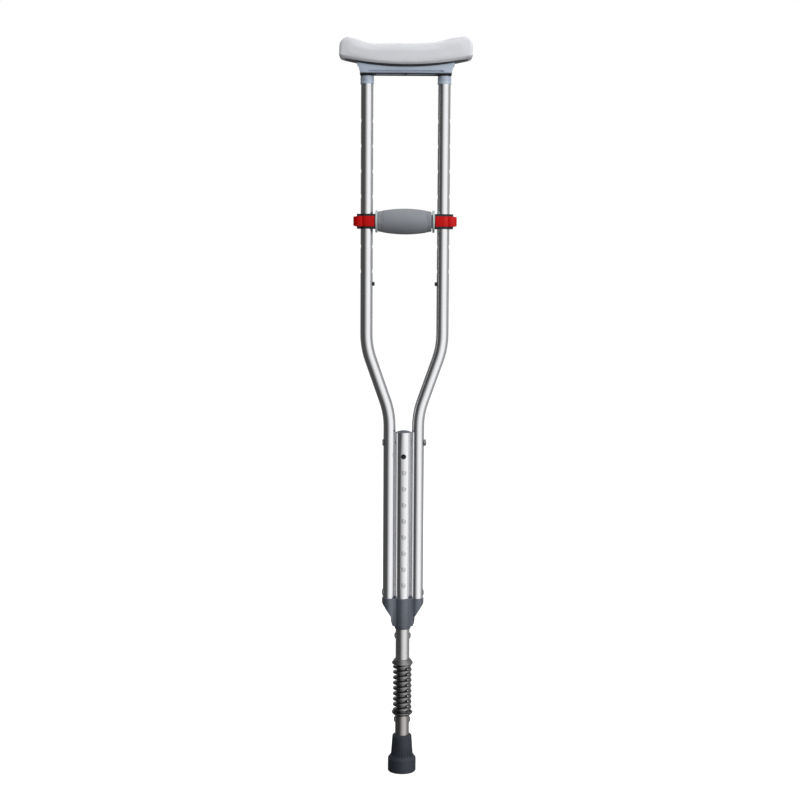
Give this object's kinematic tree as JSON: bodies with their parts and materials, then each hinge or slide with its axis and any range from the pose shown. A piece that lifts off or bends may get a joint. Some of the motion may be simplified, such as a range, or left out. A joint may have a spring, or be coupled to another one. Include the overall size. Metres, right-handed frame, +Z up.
{
  "type": "underarm crutch",
  "caption": "Underarm crutch with a curved pad, a height-adjustable hand grip held by pull clips, a telescopic leg with a snap button and a spring foot.",
  "frame": {"origin": "centre of the rubber tip's sole, on the ground, with the leg at its shortest setting", "axes": "+Z up along the leg to the underarm cushion, +X to the right across the two side tubes, -Y to the front where the length holes and the snap button are"},
  "size_m": [0.204, 0.0444, 1.1447],
  "materials": {
    "cushion_foam": "soft moulded foam, satin",
    "base_plastic": "glossy moulded",
    "tube_aluminium": "satin anodised",
    "fastener_steel": "zinc plated",
    "dark_screw_steel": "blackened",
    "button_steel": "black oxide",
    "spring_black": "black gloss enamel",
    "yoke_plastic": "fine moulded satin",
    "black_plastic": "moulded",
    "red_plastic": "glossy moulded",
    "grip_rubber": "soft matt",
    "ring_plastic": "satin",
    "tip_rubber": "matt",
    "bush_nylon": "natural nylon"
  },
  "bodies": {
    "frame": {"underarm_cushion": "cushion_foam", "cushion_base": "base_plastic", "base_screws": "dark_screw_steel", "side_tube_left": "tube_aluminium", "side_tube_right": "tube_aluminium", "stop_studs": "black_plastic", "centre_tube": "tube_aluminium", "centre_tube_plug": "yoke_plastic", "upper_cross_bolt": "fastener_steel", "upper_cross_nut": "fastener_steel", "lower_side_screws": "fastener_steel", "lower_yoke": "yoke_plastic", "leg_bush": "bush_nylon"},
    "leg": {"leg_tube": "tube_aluminium", "leg_rivet": "fastener_steel", "upper_spring_seat": "fastener_steel", "guide_bush": "bush_nylon", "coil_spring": "spring_black"},
    "button": {"snap_button": "button_steel"},
    "foot": {"guide_rod": "fastener_steel", "rod_sleeve": "bush_nylon", "foot_rivet": "fastener_steel", "lower_spring_seat": "spring_black", "foot_tube": "tube_aluminium", "tip_washer": "fastener_steel", "rubber_tip": "tip_rubber"},
    "hand_grip": {"hand_grip": "grip_rubber", "grip_core": "black_plastic", "grip_end_ring_left": "ring_plastic", "grip_end_ring_right": "ring_plastic", "grip_bracket_left": "black_plastic", "grip_bracket_right": "black_plastic", "grip_core_pins": "fastener_steel"},
    "clip_left": {"grip_clip_left": "red_plastic", "clip_pin_left": "fastener_steel"},
    "clip_right": {"grip_clip_right": "red_plastic", "clip_pin_right": "fastener_steel"}
  },
  "joints": [
    {"name": "leg_slide", "type": "slide", "parent": "frame", "child": "leg", "axis": [0, 0, -1], "range_m": [0, 0.2032]},
    {"name": "button_press", "type": "slide", "parent": "leg", "child": "button", "axis": [0, 1, 0], "range_m": [0, 0.004], "stiffness_N_per_m": 1500, "springref_m": -0.002, "deforming": ["snap_button"]},
    {"name": "shock_travel", "type": "slide", "parent": "leg", "child": "foot", "axis": [0, 0, 1], "range_m": [0, 0.012], "stiffness_N_per_m": 40000, "springref_m": -0.002, "deforming": ["coil_spring"]},
    {"name": "grip_height", "type": "slide", "parent": "frame", "child": "hand_grip", "axis": [0, 0, 1], "range_m": [-0.0762, 0.1524]},
    {"name": "clip_left_pull", "type": "slide", "parent": "hand_grip", "child": "clip_left", "axis": [-1, 0, 0], "range_m": [0, 0.026]},
    {"name": "clip_right_pull", "type": "slide", "parent": "hand_grip", "child": "clip_right", "axis": [1, 0, 0], "range_m": [0, 0.026]}
  ]
}
